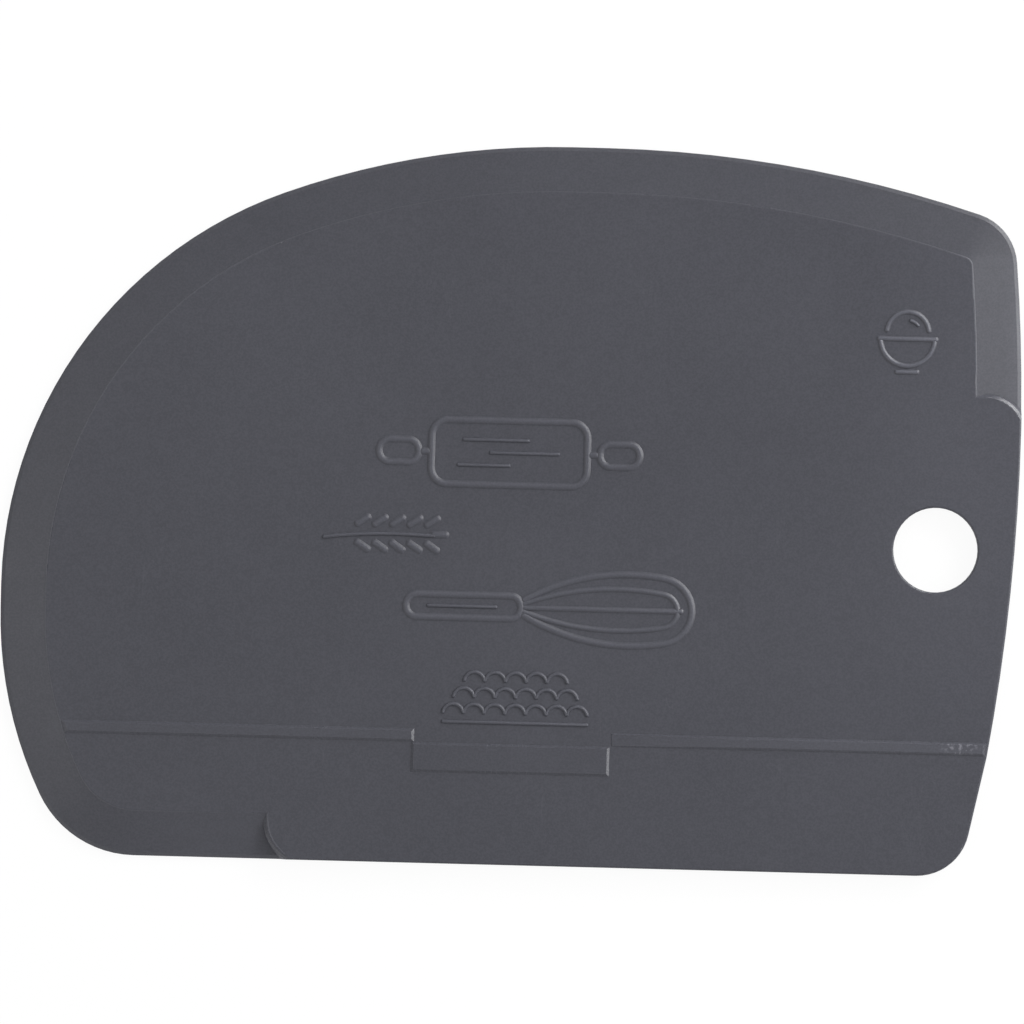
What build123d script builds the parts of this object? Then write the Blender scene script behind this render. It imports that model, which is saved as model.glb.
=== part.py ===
from build123d import *
import os

# A bowl scraper: a stiff card with a straight scraping edge, and a thin flexible lip bonded
# round its curved side. The card lies on its back. +Z is the front, with the raised finger
# bar, the straight edge runs along X on the -Y side, and the hanging hole is at the +X end.
# The origin is the middle of the footprint, on the back face. Lengths are in millimetres.

# Card
card_length = 120.0
card_width = 85.0
card_thickness = 2.0
edge_round = 0.25
back_round = 0.15

# Outline. A place is a share of the length, from the middle, and a share of the width, from
# the straight edge. Each curved stretch leaves its flat square to the length or to the width.
left_flat_low_share = (-0.5, 0.341)
left_flat_high_share = (-0.5, 0.375)
crown_left_share = (0.0525, 1)
crown_right_share = (0.087, 1)
arch_lower_share = 0.651
top_right_share = (0.4884, 0.905)
widest_right_share = (0.5, 0.623)
knee_share = (0.4743, 0.167)
lower_right_share = (0.4496, 0)
lower_left_share = (-0.4216, 0)
top_right_radius = 6.5
lower_right_radius = 6.25
lower_left_radius = 12.6

# Flexible lip. Its section is given from the outer edge inwards: the height of the surface
# over the back face, and how far in from the edge it reaches that height.
lip_width = 5.25
lip_step = 0.08
lip_edge_thickness = 0.45
lip_nose_rise = 0.3
lip_nose_width = 0.45

# Run-outs, where the lip ends against the full thickness of the card. The full thickness
# is a block with one rounded corner at each run-out. Its wall has a broad sloping shoulder at
# the front, and from there it leans outwards to the back.
block_left = 27.9
block_top = 56.65
runout_overhang = 0.3
runout_left_radius = 5.0
runout_right_radius = 4.5
runout_shoulder_width = 0.38
runout_shoulder_depth = 0.26
runout_foot_width = 0.5

# Tongue of the card inside the lip, which carries the bond
tongue_depth = 1.25
tongue_thickness = 0.6
tongue_height = 0.45

# Hanging hole
hole_diameter = 10.0
hole_inset = 9.75
hole_height = 38.5
hole_round = 0.25

# Finger bar, in two parts, and the pad between them
bar_height = 14.3
bar_width = 1.6
pad_length = 23.45
pad_width = 3.55
pad_shift = 0.65
bar_tuck = 0.35
bar_gap = 0.15
raised_height = 0.2
raised_draft_angle = 58.0
raised_setback = 0.05
fade_length = 16.0
fade_height = 0.08

# Overrun of a cut or a blank past the surface that it crosses
overrun = 0.8


def place(shares):
    """Turn a pair of shares into a point of the card's outline."""
    return Vector(shares[0] * card_length, shares[1] * card_width - card_width / 2)


def arch_joint(low, high, lower_reach):
    """Find where two arcs meet tangentially between an upright start and a level end.

    lower_reach is how far the lower arc's end tangent meets the upright above its start.
    """
    span = high.X - low.X
    rise = high.Y - low.Y
    upper_reach = (span**2 + rise**2 - 2 * rise * lower_reach) / (2 * (span + lower_reach))
    lower_tip = low + Vector(0, lower_reach)
    upper_tip = high - Vector(upper_reach, 0)
    share = lower_reach / (lower_reach + upper_reach)
    return lower_tip + (upper_tip - lower_tip) * share


# Outline of the whole scraper
left_flat_low = place(left_flat_low_share)
left_flat_high = place(left_flat_high_share)
crown_left = place(crown_left_share)
crown_right = place(crown_right_share)
top_right = place(top_right_share)
widest_right = place(widest_right_share)
knee = place(knee_share)
lower_right = place(lower_right_share)
lower_left = place(lower_left_share)
arch_middle = arch_joint(
    left_flat_high, crown_left, arch_lower_share * (crown_left.Y - left_flat_high.Y)
)

with BuildSketch() as outline:
    with BuildLine():
        Line(left_flat_low, left_flat_high)
        lower_arc = TangentArc(left_flat_high, arch_middle, tangent=(0, 1))
        TangentArc(arch_middle, crown_left, tangent=lower_arc % 1)
        Line(crown_left, crown_right)
        TangentArc(crown_right, top_right, tangent=(1, 0))
        TangentArc(widest_right, top_right, tangent=(0, 1))
        TangentArc(widest_right, knee, tangent=(0, -1))
        Line(knee, lower_right)
        Line(lower_right, lower_left)
        TangentArc(left_flat_low, lower_left, tangent=(0, -1))
    make_face()
    for corner, radius in (
        (top_right, top_right_radius),
        (lower_right, lower_right_radius),
        (lower_left, lower_left_radius),
    ):
        fillet(outline.vertices().sort_by_distance(corner)[0], radius=radius)


def plate(shape, section):
    """Build a flat shape up through a section of (distance out from its edge, height) pairs."""
    with BuildPart() as blank:
        for distance, height in section:
            with BuildSketch(Plane.XY.offset(height)):
                add(shape.sketch)
                if distance != 0:
                    offset(amount=distance)
        loft(ruled=True)
    return blank.part


# Full-thickness stretch of the card outside the lip's inner line: the outline, kept only
# inside the block whose rounded corners form the two run-outs
block_bottom = -card_width / 2 - runout_overhang
block_right = card_length / 2 + runout_overhang
block_upper = block_top - card_width / 2

runout_section = (
    (runout_shoulder_width + runout_foot_width, 0),
    (runout_shoulder_width, card_thickness - runout_shoulder_depth),
    (0, card_thickness),
)

with BuildSketch() as block:
    with BuildLine():
        Polyline(
            (-block_left, block_upper),
            (-block_left, block_bottom),
            (block_right, block_bottom),
            (block_right, block_upper),
            close=True,
        )
    make_face()
    for corner, radius in (
        ((-block_left, block_bottom), runout_left_radius),
        ((block_right, block_upper), runout_right_radius),
    ):
        fillet(block.vertices().sort_by_distance(corner)[0], radius=radius)

card_blank = plate(outline, ((-back_round, 0), (0, back_round), (0, card_thickness)))

with BuildPart() as stiff_margin:
    add(card_blank)
    add(plate(block, runout_section), mode=Mode.INTERSECT)

# Core of the card, which the lip is bonded to. Its front edge is rounded all the way round,
# along the open outline and along the lip's inner line.
with BuildPart() as core:
    with BuildSketch():
        add(outline.sketch)
        offset(amount=-lip_width)
    extrude(amount=card_thickness)
    with BuildSketch(Plane.XY.offset(tongue_height)):
        add(outline.sketch)
        offset(amount=tongue_depth - lip_width)
    extrude(amount=tongue_thickness)
    add(stiff_margin.part)
    fillet(core.faces().sort_by(Axis.Z)[-1].outer_wire().edges(), radius=edge_round)

# Stiff body: the core with its finger bar, pad and hanging hole
pad_left = pad_shift - pad_length / 2
pad_right = pad_shift + pad_length / 2
bar_foot = bar_height - card_width / 2
left_bar_end = pad_left + bar_tuck
right_bar_start = pad_right + bar_gap
fade_end = right_bar_start + fade_length
hole_place = Location((card_length / 2 - hole_inset, hole_height - card_width / 2))
raised_plane = Plane.XY.offset(card_thickness)

with BuildPart() as stiff_body:
    add(core.part)

    # Finger bar and pad: one bar ends by the lip's inner line, the other by the outline, both
    # where the rounded edge starts. Their walls slope gently, which a hand feels and light shows.
    for near_x, far_x, margin in (
        (-card_length / 2, left_bar_end, lip_width),
        (right_bar_start, card_length / 2, 0),
    ):
        with BuildSketch(raised_plane):
            with Locations(((near_x + far_x) / 2, bar_foot)):
                Rectangle(far_x - near_x, bar_width, align=(Align.CENTER, Align.MIN))
            inset = margin + edge_round + raised_setback
            limit = offset(outline.sketch, amount=-inset, mode=Mode.PRIVATE)
            add(limit, mode=Mode.INTERSECT)
        extrude(amount=raised_height, taper=raised_draft_angle)
    with BuildSketch(raised_plane):
        with Locations((pad_shift, bar_foot)):
            Rectangle(pad_length, pad_width, align=(Align.CENTER, Align.MAX))
    extrude(amount=raised_height, taper=raised_draft_angle)

    # The right-hand bar rises from low beside the pad to its full height
    with BuildSketch(Plane.XZ.offset(-bar_foot)):
        with BuildLine():
            Polyline(
                (right_bar_start - overrun, card_thickness + fade_height),
                (right_bar_start, card_thickness + fade_height),
                (fade_end, card_thickness + raised_height),
                (fade_end, card_thickness + raised_height + overrun),
                (right_bar_start - overrun, card_thickness + raised_height + overrun),
                close=True,
            )
        make_face()
    extrude(amount=-bar_width, mode=Mode.SUBTRACT)

    # Hanging hole with rounded rims
    with Locations(hole_place):
        Hole(hole_diameter / 2)
    rims = stiff_body.edges().filter_by(GeomType.CIRCLE).filter_by(
        lambda edge: (edge.arc_center - hole_place.position).length < hole_diameter / 2
    )
    fillet(rims, radius=hole_round)

stiff_body.part.label = "stiff_body"

# Flexible lip: the outline at each height of its section, bevelled down towards the edge, and
# cut by the core so that its groove fits the tongue and its top lies against the rounded edge.
# The blank follows its own slope a little way inside the inner line, over the rounded edge and
# to half of the step under the front face, and the core trims it there.
lip_root = card_thickness - lip_step
lip_nose_height = lip_edge_thickness + lip_nose_rise
lip_slope = (lip_root - lip_nose_height) / (lip_width - lip_nose_width)
blank_reach = lip_step / lip_slope / 2
lip_section = (
    (-back_round, 0),
    (0, back_round),
    (0, lip_edge_thickness),
    (-lip_nose_width, lip_nose_height),
    (-lip_width - blank_reach, lip_root + lip_slope * blank_reach),
)

lip_blank = plate(outline, lip_section)

with BuildPart() as flexible_lip:
    add(lip_blank)
    add(core.part, mode=Mode.SUBTRACT)

flexible_lip.part.label = "flexible_lip"

os.makedirs("parts", exist_ok=True)
export_step(stiff_body.part, "parts/stiff_body.step")
export_step(flexible_lip.part, "parts/flexible_lip.step")
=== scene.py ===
# %% [markdown]
# # Dressing a moulded bowl scraper
# The object is a flat kitchen card of dark grey plastic: a stiff body with a straight edge and a
# hanging hole, and a thin flexible lip round its curved side. Its solids arrive exact, so none of
# them is rebuilt here. This lesson gives them the finish that a mould and a kitchen leave, adds
# the fine raised ornament of the front face, and sets the studio.

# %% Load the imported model
import math

import bmesh
import bpy
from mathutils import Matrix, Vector


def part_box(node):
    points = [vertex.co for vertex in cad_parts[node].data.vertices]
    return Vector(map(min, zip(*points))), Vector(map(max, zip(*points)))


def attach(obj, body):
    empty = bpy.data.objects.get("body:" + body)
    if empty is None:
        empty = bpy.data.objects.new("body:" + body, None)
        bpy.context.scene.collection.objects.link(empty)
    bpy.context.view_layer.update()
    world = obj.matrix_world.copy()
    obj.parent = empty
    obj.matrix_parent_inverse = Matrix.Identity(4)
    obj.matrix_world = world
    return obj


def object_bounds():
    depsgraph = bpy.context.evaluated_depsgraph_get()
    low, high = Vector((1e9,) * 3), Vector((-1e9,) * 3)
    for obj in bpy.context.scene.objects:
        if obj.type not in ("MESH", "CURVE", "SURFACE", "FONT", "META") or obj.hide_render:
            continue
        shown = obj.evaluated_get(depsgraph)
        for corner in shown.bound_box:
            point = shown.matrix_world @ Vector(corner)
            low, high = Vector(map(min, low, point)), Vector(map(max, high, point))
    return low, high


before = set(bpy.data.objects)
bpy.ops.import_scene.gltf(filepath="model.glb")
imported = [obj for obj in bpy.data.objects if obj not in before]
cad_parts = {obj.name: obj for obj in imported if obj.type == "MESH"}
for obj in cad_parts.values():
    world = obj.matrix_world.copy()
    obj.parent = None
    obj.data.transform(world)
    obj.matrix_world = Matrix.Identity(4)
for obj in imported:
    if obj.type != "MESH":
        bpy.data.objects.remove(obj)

cad_low, cad_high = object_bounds()
MM = 0.001

# %% [markdown]
# Everything that is added has to sit on the card, so the first values are read off its solids.
# The highest point of the body is the top of the finger bar. The front face lies lower by the
# height of that bar. Between three and eight tenths of that height a finish changes from the
# face's to that of a raised top.

# %% Find the card's front face
card_low, card_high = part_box("stiff_body")
lip_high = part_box("flexible_lip")[1]
bar_rise = 0.2 * MM
bar_foot_height = 14.3 * MM
front_face = card_high.z - bar_rise
top_starts = front_face + bar_rise * 0.3
top_full = front_face + bar_rise * 0.8
straight_edge = card_low.y
bar_foot = straight_edge + bar_foot_height
card_middle = (cad_low + cad_high) / 2
card_length = cad_high.x - cad_low.x
print("front face at", round(front_face / MM, 3), "mm")
print("straight edge at y", round(straight_edge / MM, 2), "mm")

# %% [markdown]
# The camera comes before the finishes, because the size of one pixel decides how fine a grain can
# show. The card is seen square on and turned a little clockwise. A long lens, far away, keeps
# its walls from showing on one side more than on the other, as they do in a catalogue picture.

# %% Set the camera
picture_side_px = 1024
card_length_px = 1016.5
card_middle_px = (511.0, 505.3)
card_turn = math.radians(1.49)
lens = 400
sensor = 36

pixel = card_length / card_length_px
across = Vector((math.cos(card_turn), math.sin(card_turn), 0))
upward = Vector((-math.sin(card_turn), math.cos(card_turn), 0))
aim = Vector((card_middle.x, card_middle.y, front_face))
aim += across * (picture_side_px / 2 - card_middle_px[0]) * pixel
aim -= upward * (picture_side_px / 2 - card_middle_px[1]) * pixel

camera = bpy.data.objects.new("camera", bpy.data.cameras.new("camera"))
camera.data.lens = lens
camera.data.sensor_width = sensor
camera_height = picture_side_px * pixel * lens / sensor
camera.location = aim + Vector((0, 0, camera_height))
camera.rotation_euler = (0, 0, card_turn)
camera.data.clip_start = camera_height / 100
camera.data.clip_end = camera_height * 100
bpy.context.scene.collection.objects.link(camera)
bpy.context.scene.camera = camera
print("one pixel is", round(pixel / MM, 4), "mm, camera", round(camera_height, 3), "m up")

# %% [markdown]
# A material in Blender is a graph of nodes, and maths on a graph is hard to read when every sum
# is three lines of wiring. A small class helps: `Wire` wraps the output of a node, so that
# `1 - mask * 0.5` builds its own Math nodes.


# %% Shader maths as Python
class Wire:
    """The output of a node, which can be added, subtracted and multiplied."""

    def __init__(self, finish, socket):
        self.finish = finish
        self.socket = socket

    def maths(self, operation, *others):
        values = dict(enumerate((self, *others)))
        return self.finish.node("ShaderNodeMath", {"operation": operation}, values)["Value"]

    def __add__(self, other):
        return self.maths("ADD", other)

    def __sub__(self, other):
        return self.maths("SUBTRACT", other)

    def __rsub__(self, other):
        return self.finish.node(
            "ShaderNodeMath", {"operation": "SUBTRACT"}, {0: other, 1: self}
        )["Value"]

    def __mul__(self, other):
        return self.maths("MULTIPLY", other)

    __radd__ = __add__
    __rmul__ = __mul__

    def fade(self, start, end):
        """Go smoothly from 0 where this is start to 1 where it is end."""
        sockets = {"Value": self, "From Min": start, "From Max": end}
        settings = {"interpolation_type": "SMOOTHSTEP"}
        return self.finish.node("ShaderNodeMapRange", settings, sockets)["Result"]


class Made:
    """A node just made, whose outputs are read by name as wires."""

    def __init__(self, finish, node):
        self.finish = finish
        self.outputs = node.outputs

    def __getitem__(self, name):
        return Wire(self.finish, self.outputs[name])


print("wires can be added, subtracted and multiplied")

# %% [markdown]
# `Finish` is the material, or the sky, that the wires run in. Its method `node` makes any other
# node from its type, its settings and what its sockets take. The methods after it are what the
# plastics have in common: the place on the card, how steep the surface is, whether it is raised,
# a noise of a given size, and a mix of two colours.


# %% A material while its nodes are made
class Finish:
    """A material or a sky while its nodes are being made."""

    def __init__(self, owner):
        owner.use_nodes = True
        self.owner = owner
        self.tree = owner.node_tree
        self.tree.nodes.clear()

    def node(self, kind, settings, sockets):
        made = self.tree.nodes.new(kind)
        for name, value in settings.items():
            setattr(made, name, value)
        for name, value in sockets.items():
            if isinstance(value, Wire):
                self.tree.links.new(value.socket, made.inputs[name])
            else:
                made.inputs[name].default_value = value
        return Made(self, made)

    def place(self):
        """The point being shaded, in metres, in the card's own frame."""
        return self.node("ShaderNodeTexCoord", {}, {})["Object"]

    def steepness(self, low, high):
        """0 where the surface is less steep than low, 1 where it is steeper than high."""
        normal = self.node("ShaderNodeTexCoord", {}, {})["Normal"]
        upward = self.node("ShaderNodeSeparateXYZ", {}, {"Vector": normal})["Z"]
        return upward.fade(math.cos(math.radians(low)), math.cos(math.radians(high)))

    def raised(self):
        """1 on the tops of the bar, the pad and the ornament, 0 on the face."""
        height = self.node("ShaderNodeSeparateXYZ", {}, {"Vector": self.place()})["Z"]
        return height.fade(top_starts, top_full)

    def noise(self, place, grain, detail=2.0, roughness=0.5):
        """Cloudy noise about 0.5 whose blots are about as wide as grain."""
        sockets = {"Vector": place, "Scale": 1 / grain, "Detail": detail, "Roughness": roughness}
        return self.node("ShaderNodeTexNoise", {}, sockets)["Fac"]

    def tint(self, amount, low, high):
        """Mix two colours by a wire: 0 gives low, 1 gives high, and more goes beyond high. A Mix
        node keeps its colour sockets after those for numbers and vectors, so they are named by
        their places."""
        sockets = {0: amount, 6: low, 7: high}
        settings = {"data_type": "RGBA", "clamp_factor": False}
        return self.node("ShaderNodeMix", settings, sockets)[2]


print("shader maths is ready")

# %% [markdown]
# The card is one colour all over: a dark grey with a slight blue cast. The mould is
# spark-eroded, which leaves a fine even grain in the plastic. The grain is narrower than a pixel
# or two, so it is bump, and it makes the broad soft gloss that tells plastic from paint. Over it
# lie things that a flat colour lacks: faint clouds where the melt cooled unevenly, polished
# smears, and hairline scratches from drawers and worktops. One spot near the end of the bar is
# scuffed, and the face round the hanging hole is paler. Light is painted in as well: the tops of
# the bar and of the ornament are painted paler as a highlight, the lip's right end and rim as a
# lit bevel, and its left side and lower end to lift the shade beside the seam and the run-out.
# The card's slopes come smoother out of the mould than its grained face, and upright walls come
# rougher. One function makes every plastic here, and takes what differs: two greys, two
# roughnesses, and where and how far it is paler.

# %% Colours of the plastic
# The pale greys are where wear and painted light take the colour.
card_grey = (0.0437, 0.0447, 0.0556, 1)
card_grey_worn_and_lit = (0.0562, 0.0574, 0.0707, 1)
lip_grey = (0.0439, 0.0447, 0.0549, 1)
lip_grey_worn_and_lit = (0.0565, 0.0576, 0.0699, 1)
print("greys of the card", card_grey[:3], "and of the lip", lip_grey[:3])

# %% [markdown]
# Two kinds of mark are masks, 1 where the mark is. A hairline scratch is where a noise that is
# stretched along one direction crosses its middle value, and a second noise keeps the scratches
# in patches. The scuff is a blotchy noise inside a flat oval round one point of the finger bar.

# %% Scratches and scuffs
scratch_edge = 0.006
scratch_patch = 9 * MM
scratch_patch_levels = (0.56, 0.68)
scuff_grey = (0.16, 0.16, 0.185, 1)
scuff_middle = (53.7 * MM, -27.3 * MM)
scuff_reach = (2.7 * MM, 1.2 * MM)
scuff_fade = (1.0, 0.4)
scuff_blotch = 0.45 * MM
scuff_blotch_levels = (0.48, 0.68)


def mapping(finish, place, sockets):
    """A point moved, turned and stretched as the sockets of a Mapping node say."""
    settings = {"vector_type": "POINT"}
    return finish.node("ShaderNodeMapping", settings, {"Vector": place, **sockets})["Vector"]


def hairlines(finish, place, turn, gap, length):
    """Sparse fine scratches along one direction."""
    stretch = (1 / gap, 1 / length, 1 / gap)
    turned = mapping(finish, place, {"Rotation": (0, 0, turn), "Scale": stretch})
    level = finish.noise(turned, 1, detail=1.0)
    off_line = (level - 0.5).maths("ABSOLUTE")
    line = 1 - off_line.fade(0.0, scratch_edge)
    patch = finish.noise(place, scratch_patch, detail=1.0).fade(*scratch_patch_levels)
    return line * patch


def scuffs(finish, place):
    """Blotchy rubbed marks round one point of the finger bar."""
    scale = (1 / scuff_reach[0], 1 / scuff_reach[1], 0)
    offset = (-scuff_middle[0] * scale[0], -scuff_middle[1] * scale[1], 0)
    local = mapping(finish, place, {"Location": offset, "Scale": scale})
    settings = {"operation": "LENGTH"}
    away = finish.node("ShaderNodeVectorMath", settings, {"Vector": local})["Value"]
    blotches = finish.noise(place, scuff_blotch, detail=3.0).fade(*scuff_blotch_levels)
    return away.fade(*scuff_fade) * blotches * finish.raised()


print("the scuff is at", [round(side / MM, 1) for side in scuff_middle], "mm")

# %% [markdown]
# The paler zones are soft boxes along X and Y: a fade runs from 0 at its first
# place to 1 at its second. The raised tops above the pad carry a painted highlight, which grows
# towards the hanging hole, and the face round the hole is paler. On the lip, its right end and
# left side carry painted light, and so does its lower end, where it lifts the run-out's shadow.

# %% Where painted light and paleness go
above_pad_y = (bar_foot - 0.4 * MM, bar_foot)
# The painted highlight on the tops grows along X towards the hanging hole.
highlight_grows_x = (10 * MM, 56 * MM)
highlight_grows_gain = 1.6
# The face round the hanging hole is paler.
near_hole_x = (39 * MM, 55 * MM)
near_hole_y = (-27 * MM, -17 * MM)
near_hole_gain = 1.4
# Painted light: a highlight on the lip's lit right end and rim, and lifted shade on its left side.
right_end_x = (48 * MM, 51 * MM)
right_end_y = (31.4 * MM, 30.4 * MM)
right_rim_x = (57 * MM, 60 * MM)
right_rim_gain = 1.5
left_side_x = (-5 * MM, -48 * MM)
left_side_gain = 0.8
# Painted light: the lip's lower end is paled to lift the shadow of the run-out's wall.
lower_end_x = (-47 * MM, -31 * MM)
lower_end_y = (-33 * MM, -36 * MM)
lower_end_gain = 1.4


def painted_highlight_on_tops(finish, along):
    """Painted highlight on raised tops above the pad, more so towards the hanging hole."""
    above_pad = along["Y"].fade(*above_pad_y)
    return finish.raised() * above_pad * (along["X"].fade(*highlight_grows_x) * highlight_grows_gain + 1)


def highlight_and_hole_paleness(finish, along):
    """The painted highlight on raised tops, and the paler face round the hanging hole."""
    near_hole = along["X"].fade(*near_hole_x) * along["Y"].fade(*near_hole_y)
    return painted_highlight_on_tops(finish, along) + near_hole * near_hole_gain


def painted_light_right_and_left(finish, along):
    """Painted light on the lip's right end, below the corner, most at its rim, and a little less on
    its left side.
    """
    right_end = along["X"].fade(*right_end_x) * along["Y"].fade(*right_end_y)
    right_end = right_end * (along["X"].fade(*right_rim_x) * right_rim_gain + 1)
    return right_end + along["X"].fade(*left_side_x) * left_side_gain


def painted_light_on_lip(finish, along):
    """That painted light, and painted light on the lip's lower end, more so towards the left
    run-out, where it lifts the wall's shadow.
    """
    lower_end = along["X"].fade(*lower_end_x) * along["Y"].fade(*lower_end_y)
    return painted_light_right_and_left(finish, along) + lower_end * lower_end_gain


print("the lip's right end is pale from x", right_end_x[0] / MM, "to", right_end_x[1] / MM, "mm")

# %% [markdown]
# Now the plastic itself. Each layer is a noise with its own size, and each is added, with its own
# share, to the wear and painted light that pale the colour. Between 17 and 26 degrees of
# steepness the roughness goes over from that of the flat face to that of the slopes, and walls
# steeper than 50 to 65 degrees are rougher.

# %% Mix the plastic
cloud_size = 30 * MM
smear_size = 7 * MM
mottle_size = 1.6 * MM
speckle_size = 0.24 * MM
grain_size = 0.16 * MM
grain_depth = 0.012 * MM
slope_starts, slope_full = 17, 26
wall_starts, wall_full = 50, 65
wall_roughness_gain = 0.35


def plastic(name, greys, flat_roughness, slope_roughness, pale_where, amount):
    """The moulded plastic, with its clouds, smears, hairlines and grain. The function pale_where
    says where it is paler, by painted light and round the hanging hole, and amount how far."""
    finish = Finish(bpy.data.materials.new(name))
    place = finish.place()
    along = finish.node("ShaderNodeSeparateXYZ", {}, {"Vector": place})

    clouds = finish.noise(place, cloud_size, detail=3.0).fade(0.25, 0.75)
    smears = finish.noise(place, smear_size, detail=2.0).fade(0.52, 0.74)
    marks = hairlines(finish, place, turn=0.35, gap=1.6 * MM, length=26 * MM)
    marks = marks + hairlines(finish, place, turn=-0.9, gap=1.9 * MM, length=22 * MM)
    mottle = finish.noise(place, mottle_size, detail=2.0).fade(0.3, 0.7)
    speckle = finish.noise(place, speckle_size, detail=1.0).fade(0.3, 0.7)

    worn_and_lit = clouds * 0.3 + smears * 0.15 + marks * 0.5 + mottle * 0.15 + speckle * 0.8 - 0.2
    # Painted light: the second term pales the colour as highlight on tops and rims, and lifts shade
    # on the lip.
    worn_and_lit = worn_and_lit + pale_where(finish, along) * amount
    colour = finish.tint(worn_and_lit, *greys)
    colour = finish.tint(scuffs(finish, place), colour, scuff_grey)
    roughness = flat_roughness + smears * -0.05 + marks * 0.1 + (clouds - 0.5) * 0.05
    slope = finish.steepness(slope_starts, slope_full)
    roughness = roughness + slope * (slope_roughness - flat_roughness)
    wall = finish.steepness(wall_starts, wall_full)
    roughness = roughness + wall * wall_roughness_gain

    grain = finish.noise(place, grain_size, detail=2.0, roughness=0.6)
    bump = finish.node(
        "ShaderNodeBump",
        {},
        {"Strength": 0.5, "Distance": grain_depth, "Height": grain - marks * 0.3},
    )["Normal"]
    shader = finish.node(
        "ShaderNodeBsdfPrincipled",
        {},
        {"Base Color": colour, "Roughness": roughness, "Normal": bump, "IOR": 1.46},
    )["BSDF"]
    finish.node("ShaderNodeOutputMaterial", {}, {"Surface": shader})
    return finish.owner


print("the grain of the plastic is", round(grain_size / MM, 2), "mm wide")

# %% [markdown]
# Four finishes come from that one function: the card's, its ornament's, the lip's and the
# flash's. They differ in how rough they are, flat and on slopes, and in where they are paler.
# The flash carries the most painted light: its right end is painted as a highlight, and its left
# side is painted out of its shade.

# %% Make the four plastics
card_greys = (card_grey, card_grey_worn_and_lit)
lip_greys = (lip_grey, lip_grey_worn_and_lit)
card_plastic = plastic(
    "card_plastic", card_greys,
    flat_roughness=0.46, slope_roughness=0.26, pale_where=highlight_and_hole_paleness, amount=0.35,
)
# The ornament's tops are painted paler, as a highlight where light catches them.
relief_plastic = plastic(
    "relief_plastic", card_greys,
    flat_roughness=0.40, slope_roughness=0.41, pale_where=painted_highlight_on_tops, amount=1.2,
)
# The lip's right end, left side and lower end carry painted light.
lip_plastic = plastic(
    "lip_plastic", lip_greys,
    flat_roughness=0.40, slope_roughness=0.42, pale_where=painted_light_on_lip, amount=0.4,
)
flash_plastic = plastic(
    "flash_plastic", lip_greys,
    flat_roughness=0.40, slope_roughness=0.30, pale_where=painted_light_right_and_left, amount=2.2,
)
for node, material in (("stiff_body", card_plastic), ("flexible_lip", lip_plastic)):
    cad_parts[node].data.materials.clear()
    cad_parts[node].data.materials.append(material)
    print(node, "is", material.name, "with", len(material.node_tree.nodes), "nodes")

# %% [markdown]
# Two thin round lines follow edges of the solids. Both are beads: a curve with a round section
# through points that are read off a mesh, made a mesh itself, so that the piece sits at the
# origin as every piece does. The mesh of a solid arrives as loose triangles, so the points are
# read off a copy whose triangles are merged.

# %% A bead along a path
weld_distance = 0.001 * MM


def bead(name, path, radius, sink, shift, material):
    """A thin round line along a path, sunk in by a depth and shifted to the right of its way."""
    line = bpy.data.curves.new(name, "CURVE")
    line.dimensions = "3D"
    line.bevel_depth = radius
    line.bevel_resolution = 3
    line.use_fill_caps = True
    spline = line.splines.new("POLY")
    spline.points.add(len(path) - 1)
    for number, place in enumerate(path):
        before = path[max(number - 1, 0)]
        after = path[min(number + 1, len(path) - 1)]
        along = (after - before).normalized()
        moved = place + Vector((along.y, -along.x, 0)) * shift - Vector((0, 0, sink))
        spline.points[number].co = (*moved, 1)
    drawn = bpy.data.objects.new(name, line)
    mesh = bpy.data.meshes.new_from_object(drawn)
    mesh.name = name
    bpy.data.objects.remove(drawn)
    bpy.data.curves.remove(line)
    mesh.materials.clear()
    mesh.materials.append(material)
    piece = bpy.data.objects.new(name, mesh)
    bpy.context.scene.collection.objects.link(piece)
    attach(piece, "root")
    print(name, "follows", len(path), "points, with", len(mesh.polygons), "faces")


def merged(node):
    """A copy of a solid's mesh whose triangles share their corners."""
    copy = bmesh.new()
    copy.from_mesh(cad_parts[node].data)
    bmesh.ops.remove_doubles(copy, verts=copy.verts, dist=weld_distance)
    return copy


print("corners nearer than", round(weld_distance / MM, 4), "mm are merged")

# %% [markdown]
# Where the lip is moulded on to the card, the mould leaves a hair of flash: a line finer than a
# pixel that catches the light all along the seam. It could be a line in the material, but then
# it wouldn't stand out in low light. Its path is already in the lip's mesh, as the crest where
# the lip's slope meets the card, so the merged copy is cut down to its crest, and the points
# that are left, taken in order, carry the bead. It lies a little inside the crest, so it also
# closes the fine groove between the two solids.

# %% Lay the flash along the seam
crest_depth = 0.015 * MM
flash_radius = 0.13 * MM
flash_sink = 0.085 * MM
flash_shift = 0.06 * MM

crest = merged("flexible_lip")
lower = [vert for vert in crest.verts if vert.co.z < lip_high.z - crest_depth]
bmesh.ops.delete(crest, geom=lower, context="VERTS")
ends = [vert for vert in crest.verts if len(vert.link_edges) == 1]
here = min(ends, key=lambda vert: vert.co.y)
seam = [here.co.copy()]
edge = here.link_edges[0]
while edge:
    here = edge.other_vert(here)
    seam.append(here.co.copy())
    onward = [other for other in here.link_edges if other != edge]
    edge = onward[0] if onward else None
crest.free()
bead("seam_flash", seam, flash_radius, flash_sink, flash_shift, flash_plastic)

# %% [markdown]
# At the lower left the lip runs out against a curved wall of the card. The mould's parting line
# leaves a low ridge on that wall's upper edge, which draws a light line beside the wall's shade.
# The edge is found in the card's mesh as the corners of the flat face that lie in that place.

# %% Lay the ridge on the left run-out
runout_low = (-28.5 * MM, straight_edge + 0.4 * MM)
runout_high = (-24.0 * MM, straight_edge + 5.6 * MM)
ridge_radius = 0.3 * MM
ridge_sink = 0.252 * MM

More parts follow.
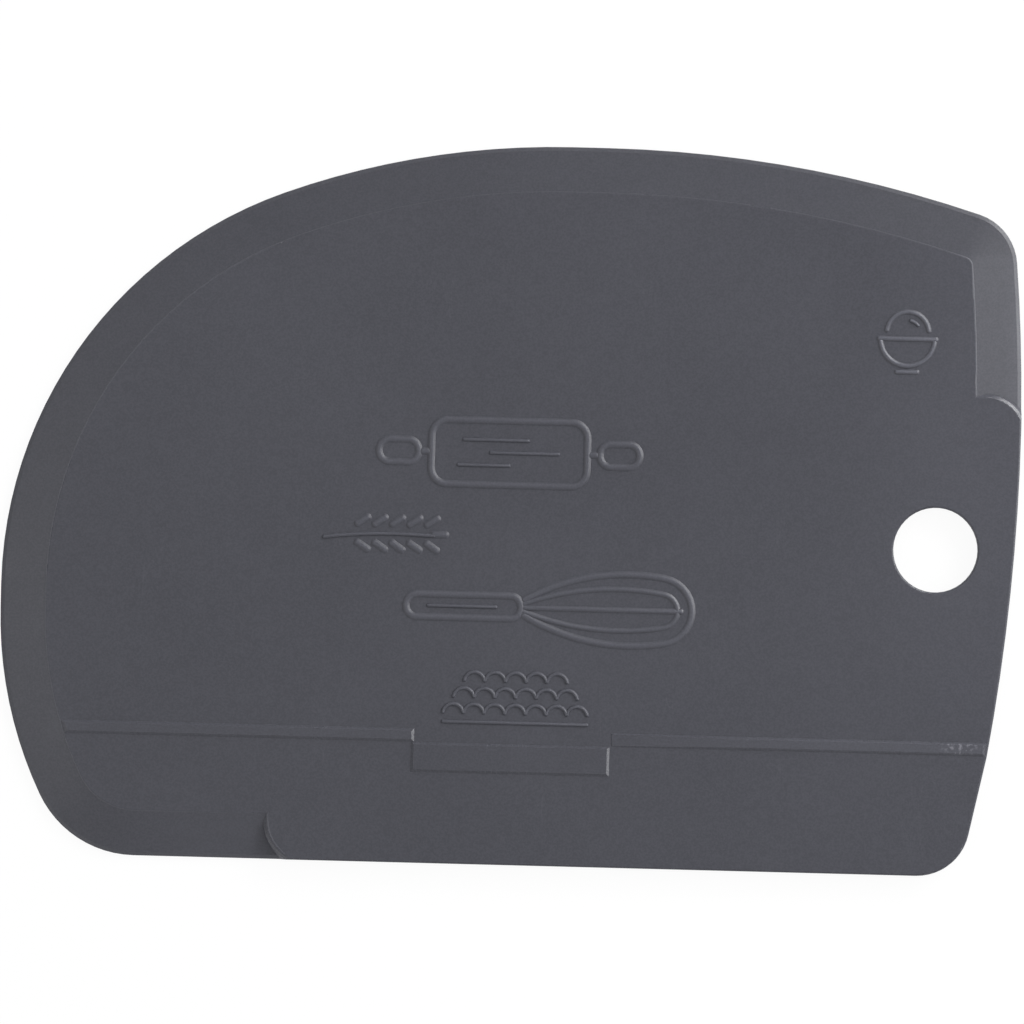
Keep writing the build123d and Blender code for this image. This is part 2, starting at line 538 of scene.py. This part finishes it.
card = merged("stiff_body")
edge_points = []
for vert in card.verts:
    in_face = abs(vert.co.z - front_face) < weld_distance
    in_width = runout_low[0] < vert.co.x < runout_high[0]
    in_height = runout_low[1] < vert.co.y < runout_high[1]
    if in_face and in_width and in_height:
        edge_points.append(vert.co.copy())
card.free()
edge_points.sort(key=lambda point: -point.y)
bead("runout_ridge", edge_points, ridge_radius, ridge_sink, 0, card_plastic)

# %% [markdown]
# The front of the card carries raised ornament from the mould: fine lines with sloping sides, a
# fifth of a millimetre high. Here it is a rolling pin, an ear of wheat, a whisk, a band of
# scallops and a mixing bowl, all in plain line. Each line could be a curve with a bevel, but
# then its ends and corners are hard to shape. A flat strip is easier: it is lifted off the face,
# and two insets that rise as they go in slope its sides. `inset_region` loses its precision on
# edges of a few microns in metres, so everything is drawn in millimetres, and scaled down once
# at the end.

# %% Raise a flat line off the face
relief_sink = 0.03
foot_rise = 0.02
slope_share = 0.26
slope_rise = 0.13
crown_share = 0.14
crown_rise = 0.05
level_step = 0.006
level_count = 4
sharp_angle = math.radians(50)
upright = Vector((0, 0, 1))


class Motif:
    """One raised ornament: several lines, each a closed shell set into the face. It is drawn in
    millimetres about its own middle, and scaled to metres when it is finished. That middle is
    given from the card's middle along X, and from the straight edge along Y."""

    def __init__(self, name, middle):
        self.name = name
        self.middle = middle
        self.bm = bmesh.new()
        self.lines = 0

    def raise_flat(self, flat, width):
        """Lift a flat line of a given width off the face, slope its sides and keep it. Lines that
        follow each other differ by a hair, so the tops of two that cross aren't in one plane."""
        foot = relief_sink + foot_rise - self.lines % level_count * level_step
        self.lines += 1
        lifted = bmesh.ops.extrude_face_region(flat, geom=list(flat.faces))["geom"]
        top = [item for item in lifted if isinstance(item, bmesh.types.BMVert)]
        crown = [item for item in lifted if isinstance(item, bmesh.types.BMFace)]
        bmesh.ops.translate(flat, verts=top, vec=upright * foot)
        bmesh.ops.recalc_face_normals(flat, faces=flat.faces)
        for share, rise in ((slope_share, slope_rise), (crown_share, crown_rise)):
            bmesh.ops.inset_region(
                flat, faces=crown, thickness=width * share, depth=rise, use_even_offset=True
            )
        shell = bpy.data.meshes.new("shell")
        flat.to_mesh(shell)
        flat.free()
        self.bm.from_mesh(shell)
        bpy.data.meshes.remove(shell)

    def finish(self):
        """Make the object, with its foot just inside the front face."""
        place = Vector((*self.middle, -relief_sink)) * MM + Vector((0, straight_edge, front_face))
        bmesh.ops.scale(self.bm, verts=self.bm.verts, vec=(MM, MM, MM))
        bmesh.ops.translate(self.bm, verts=self.bm.verts, vec=place)
        mesh = bpy.data.meshes.new(self.name)
        self.bm.to_mesh(mesh)
        self.bm.free()
        mesh.shade_smooth()
        mesh.set_sharp_from_angle(angle=sharp_angle)
        mesh.materials.append(relief_plastic)
        piece = bpy.data.objects.new(self.name, mesh)
        bpy.context.scene.collection.objects.link(piece)
        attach(piece, "root")
        print(self.name, "has", self.lines, "lines and", len(mesh.polygons), "faces")


print("lines rise", round(foot_rise + slope_rise + crown_rise, 2), "mm")

# %% [markdown]
# The flat strip is drawn as with a broad nib. An edge as wide as the line is led over the face,
# by `extrude_edge_only` on straight runs and by `spin` on bends. When the nib is lifted, a line
# that comes back to its start is welded, and one that doesn't has its ends rounded.

# %% A nib that draws flat lines
cap_share = 0.46
cap_steps = 5
bend_angle = math.radians(12)
bend_length = 0.8
weld_gap = 0.001


class Nib:
    """A nib of a given width, led over the face in millimetres and degrees from a start."""

    def __init__(self, motif, start, heading, width):
        self.motif = motif
        self.width = width
        self.flat = bmesh.new()
        self.tip = Vector((*start, 0))
        self.heading = math.radians(heading)
        half = self.leftward() * width / 2
        ends = [self.flat.verts.new(self.tip + half), self.flat.verts.new(self.tip - half)]
        self.front = self.flat.edges.new(ends)

    def forward(self):
        return Vector((math.cos(self.heading), math.sin(self.heading), 0))

    def leftward(self):
        return Vector((-math.sin(self.heading), math.cos(self.heading), 0))

    def run(self, length):
        """Draw straight on."""
        step = self.forward() * length
        made = bmesh.ops.extrude_edge_only(self.flat, edges=[self.front])["geom"]
        verts = [item for item in made if isinstance(item, bmesh.types.BMVert)]
        bmesh.ops.translate(self.flat, verts=verts, vec=step)
        self.front = [edge for edge in self.flat.edges if set(edge.verts) == set(verts)][0]
        self.tip += step
        return self

    def bend(self, radius, angle):
        """Draw an arc of a radius, to the left for a positive angle, to the right otherwise."""
        turn = math.radians(angle)
        centre = self.tip + self.leftward() * math.copysign(radius, turn)
        steps = math.ceil(max(2, abs(turn) * radius / bend_length, abs(turn) / bend_angle))
        made = bmesh.ops.spin(
            self.flat, geom=[self.front, *self.front.verts], cent=centre, axis=upright,
            dvec=(0, 0, 0), angle=turn, steps=steps,
        )["geom_last"]
        self.front = [item for item in made if isinstance(item, bmesh.types.BMEdge)][0]
        self.heading += turn
        self.tip = centre - self.leftward() * math.copysign(radius, turn)
        return self

    def lift(self):
        """End the line: weld it if it closes, round its ends if it doesn't, and raise it."""
        bmesh.ops.remove_doubles(self.flat, verts=self.flat.verts, dist=weld_gap)
        bmesh.ops.recalc_face_normals(self.flat, faces=self.flat.faces)
        ends = [vert for vert in self.flat.verts if len(vert.link_edges) == 2]
        if ends:
            bmesh.ops.bevel(
                self.flat, geom=ends, offset=self.width * cap_share, segments=cap_steps,
                affect="VERTICES", profile=0.5, material=-1,
            )
        self.motif.raise_flat(self.flat, self.width)


print("a bend has steps of", bend_length, "mm or less")

# %% [markdown]
# A ring with rounded corners is the outline of most kitchen things seen from the side: runs and
# quarter bends, back to where it began. It is drawn once and used for the barrel and the grips of
# the rolling pin, and for the handle of the whisk. Three fine lines on the barrel are the grain of
# its wood, each with the place of its start, its height and its length.


# %% Draw the rolling pin
def ring(motif, middle, length, height, corner, width):
    """A closed line along a rectangle with rounded corners, measured along its middle."""
    nib = Nib(motif, (middle[0] + corner - length / 2, middle[1] - height / 2), 0, width)
    for side in (length, height, length, height):
        nib.run(side - 2 * corner)
        nib.bend(corner, 90)
    nib.lift()


line_width = 0.9
fine_width = 0.5
barrel_length = 18.4
barrel_height = 7.6
barrel_corner = 1.9
neck_length = 1.5
grip_length = 4.7
grip_height = 2.7
grip_corner = 1.3
wood_lines = ((-5.6, 1.5, 8.0), (-2.4, 0, 8.4), (-6.2, -1.5, 6.4))

rolling_pin = Motif("rolling_pin_relief", middle=(-0.35, 48.65))
ring(rolling_pin, (0, 0), barrel_length, barrel_height, barrel_corner, line_width)
for side in (-1, 1):
    neck_start = (side * barrel_length / 2, 0)
    Nib(rolling_pin, neck_start, 90 - 90 * side, line_width).run(neck_length).lift()
    grip_middle = side * (barrel_length / 2 + neck_length + grip_length / 2)
    ring(rolling_pin, (grip_middle, 0), grip_length, grip_height, grip_corner, line_width)
for start, height, length in wood_lines:
    Nib(rolling_pin, (start, height), 0, fine_width).run(length).lift()
rolling_pin.finish()

# %% [markdown]
# The ear of wheat is a stalk with pairs of grains. A grain is one short stroke of a broad nib, and
# one loop lays them out in pairs that lean away from the stalk.

# %% Draw the ear of wheat
stalk_foot = (-7.3, -0.6)
pairs = 5
first_pair = -3.5
pair_gap = 2.05
off_stalk = 0.85
lean = 34
grain_width = 0.95
grain_length = 2.3
top_grain_foot = (5.4, 0)

wheat = Motif("wheat_relief", middle=(-14.9, 38.8))
stalk = Nib(wheat, stalk_foot, heading=8, width=fine_width)
stalk.bend(radius=60, angle=-10).run(length=3).lift()
for pair in range(pairs):
    for side in (-1, 1):
        grain_foot = (first_pair + pair * pair_gap, side * off_stalk)
        Nib(wheat, grain_foot, side * lean, grain_width).run(grain_length).lift()
Nib(wheat, top_grain_foot, 0, grain_width).run(grain_length).lift()
wheat.finish()

# %% [markdown]
# The wires of the whisk are the one shape that needs some geometry. Each leaves the handle at an
# angle, bends gently to the tip, and goes round the tip in a small bend. The long bend's radius
# follows from the others, because half-way round the wire has to cross the whisk's middle.


# %% Draw the whisk
def wire(motif, start, lead_angle, tip_radius, width):
    """One loop of wire, from a start beside the whisk's middle and back on the other side."""
    tuck_angle = 10
    lead = math.cos(math.radians(lead_angle))
    tuck = math.cos(math.radians(tuck_angle))
    long_radius = (tip_radius * tuck - start[1]) / (tuck - lead)
    nib = Nib(motif, start, lead_angle, width)
    nib.bend(long_radius, -lead_angle - tuck_angle)
    nib.bend(tip_radius, 2 * tuck_angle - 180)
    nib.bend(long_radius, -lead_angle - tuck_angle)
    nib.lift()


handle_length = 13.6
handle_end = -4.5
mark_inset = 2.4
mark_length = 8.4
outer_start = (handle_end, 0.7)
inner_start = (handle_end, 0.35)
inner_width = 0.7
middle_wire_length = 19.2

whisk = Motif("whisk_relief", middle=(6.0, 30.45))
handle_middle = (handle_end - handle_length / 2, 0)
ring(whisk, handle_middle, handle_length, grip_height, grip_corner, line_width)
handle_mark = (handle_end - handle_length + mark_inset, 0)
Nib(whisk, handle_mark, 0, fine_width).run(mark_length).lift()
wire(whisk, outer_start, lead_angle=31, tip_radius=3.9, width=line_width)
wire(whisk, inner_start, lead_angle=21, tip_radius=2.0, width=inner_width)
Nib(whisk, (handle_end, 0), 0, inner_width).run(middle_wire_length).lift()
whisk.finish()

# %% [markdown]
# The band of scallops is a pattern like the crimped rim of a pie: rows of half circles over a
# line, each row one shorter than the row below, so a loop draws them all.

# %% Draw the band of scallops
scallop_radius = 1.22
scallop_rows = (7, 6, 5)
first_rise = 0.9
row_rise = 1.9
foot_line = -3.85
foot_length = 17.4

scallops = Motif("scallops_relief", middle=(1.1, 20.65))
Nib(scallops, (-foot_length / 2, foot_line), 0, fine_width).run(foot_length).lift()
for row, count in enumerate(scallop_rows):
    for place in range(count):
        right = (2 * place - count + 2) * scallop_radius
        foot = foot_line + first_rise + row * row_rise
        Nib(scallops, (right, foot), 90, fine_width).bend(scallop_radius, 180).lift()
scallops.finish()

# %% [markdown]
# The last ornament, at the upper right, is a mixing bowl with dough risen over its rim. A short
# bend on the dough is its gleam.

# %% Draw the mixing bowl
bowl_width = 0.65
rim_reach = 3.65
rim_height = 0.3
bowl_radius = 3.2
base_reach = 1.5
base_height = -3.6
dough_radius = 2.5
dough_height = 1.0
gleam_start = (1.3, 1.75)
gleam_radius = 1.5
gleam_width = 0.45

bowl = Motif("mixing_bowl_relief", middle=(46.3, 63.05))
Nib(bowl, (-rim_reach, rim_height), 0, bowl_width).run(2 * rim_reach).lift()
Nib(bowl, (-bowl_radius, rim_height), -90, bowl_width).bend(bowl_radius, 180).lift()
Nib(bowl, (-base_reach, base_height), 0, bowl_width).run(2 * base_reach).lift()
Nib(bowl, (dough_radius, dough_height), 90, bowl_width).bend(dough_radius, 180).lift()
Nib(bowl, gleam_start, heading=120, width=gleam_width).bend(gleam_radius, angle=55).lift()
bowl.finish()

# %% [markdown]
# The floor is a plain white sheet. A render of white under plain light is a pale grey, so part
# of what the camera sees of the sheet is given light of its own, at a strength of 1. The rest
# stays an ordinary white surface, which keeps the card's soft shadow.

# %% Lay the floor
floor_reach = 3.0
floor_drop = 0.02 * MM
floor_white = (0.93, 0.93, 0.93, 1)
glow_share = 0.93

bm = bmesh.new()
bmesh.ops.create_grid(bm, x_segments=1, y_segments=1, size=floor_reach)
bmesh.ops.translate(bm, verts=bm.verts, vec=(0, 0, -floor_drop))
floor_mesh = bpy.data.meshes.new("floor")
bm.to_mesh(floor_mesh)
bm.free()
floor = bpy.data.objects.new("floor", floor_mesh)
bpy.context.scene.collection.objects.link(floor)


def seen_rays(finish):
    """1 for the rays that show a background: those of the camera, of mirrors and of glass."""
    path = finish.node("ShaderNodeLightPath", {}, {})
    seen = path["Is Camera Ray"] + path["Is Glossy Ray"] + path["Is Transmission Ray"]
    return seen.maths("MINIMUM", 1)


sheet = Finish(bpy.data.materials.new("floor_white"))
matt = sheet.node("ShaderNodeBsdfDiffuse", {}, {"Color": floor_white})["BSDF"]
glow = sheet.node("ShaderNodeEmission", {}, {"Strength": 1.0})["Emission"]
mixed = sheet.node("ShaderNodeMixShader", {}, {0: seen_rays(sheet) * glow_share, 1: matt, 2: glow})
sheet.node("ShaderNodeOutputMaterial", {}, {"Surface": mixed["Shader"]})
floor.data.materials.append(sheet.owner)
print("floor reaches", floor_reach, "m")

# %% [markdown]
# A studio's walls and ceiling throw light back from all round, which fills the shadows. Here a
# white sky does that. It is brighter near the horizon, where it lights steep slopes.

# %% Set the studio's sky
zenith_strength = 0.45
horizon_gain = 0.7
sky = bpy.data.worlds.new("studio_sky")
bpy.context.scene.world = sky
studio = Finish(sky)
toward = studio.node("ShaderNodeTexCoord", {}, {})["Generated"]
compass = studio.node("ShaderNodeSeparateXYZ", {}, {"Vector": toward})
lowness = 1 - compass["Z"].maths("ABSOLUTE")
level = zenith_strength + lowness * lowness * horizon_gain
backdrop = studio.node("ShaderNodeBackground", {}, {"Color": (1, 1, 1, 1), "Strength": level})
studio.node("ShaderNodeOutputWorld", {}, {"Surface": backdrop["Background"]})
print("sky strength", zenith_strength, "above and", round(zenith_strength + horizon_gain, 2), "low")

# %% [markdown]
# Light makes low relief readable. Seen from straight above, a slope shows a lamp as a mirror
# would when the lamp's angle from the zenith is twice the slope's. So each lamp has its slopes.
# The key is a wide low strip to the right, which lights the walls of the bar, of the ornament and
# of the right run-out, and a small lamp in front of its far end adds to the run-out alone. A
# higher one at the side lights the lip's gentle bevel. A faint one, high on the left, keeps the
# broad left side of the lip from sinking into the dark, and a fainter low one opposite the key
# does that for the walls that turn away from it.

# %% Place the lamps
lamp_distance = 0.55


def softbox(name, azimuth, elevation, width, height, radiance):
    """A rectangular area lamp aimed at the card, at angles in degrees from +X and from the floor.
    Radiance is how bright its face is, which holds whatever its size."""
    lamp = bpy.data.objects.new(name, bpy.data.lights.new(name, "AREA"))
    low = math.cos(math.radians(elevation))
    toward = Vector((
        low * math.cos(math.radians(azimuth)),
        low * math.sin(math.radians(azimuth)),
        math.sin(math.radians(elevation)),
    ))
    lamp.data.shape = "RECTANGLE"
    lamp.data.size = width
    lamp.data.size_y = height
    lamp.data.energy = radiance * math.pi * width * height
    lamp.location = card_middle + toward * lamp_distance
    lamp.rotation_euler = toward.to_track_quat("Z", "Y").to_euler()
    bpy.context.scene.collection.objects.link(lamp)
    return lamp


lamps = [
    softbox("key_softbox", azimuth=30, elevation=26, width=0.66, height=0.18, radiance=8.6),
    softbox("runout_softbox", azimuth=40, elevation=22, width=0.17, height=0.13, radiance=7.4),
    softbox("side_softbox", azimuth=8, elevation=44, width=0.2, height=0.2, radiance=3.0),
    softbox("left_fill", azimuth=188, elevation=63, width=0.23, height=0.23, radiance=1.8),
    softbox("low_fill", azimuth=225, elevation=22, width=0.45, height=0.12, radiance=1.2),
]
print("lamps", [lamp.name for lamp in lamps])

# %% [markdown]
# Last, the view transform is the plain one, which shows a colour about as it is written.

# %% Finish
bpy.context.scene.view_settings.view_transform = "Standard"
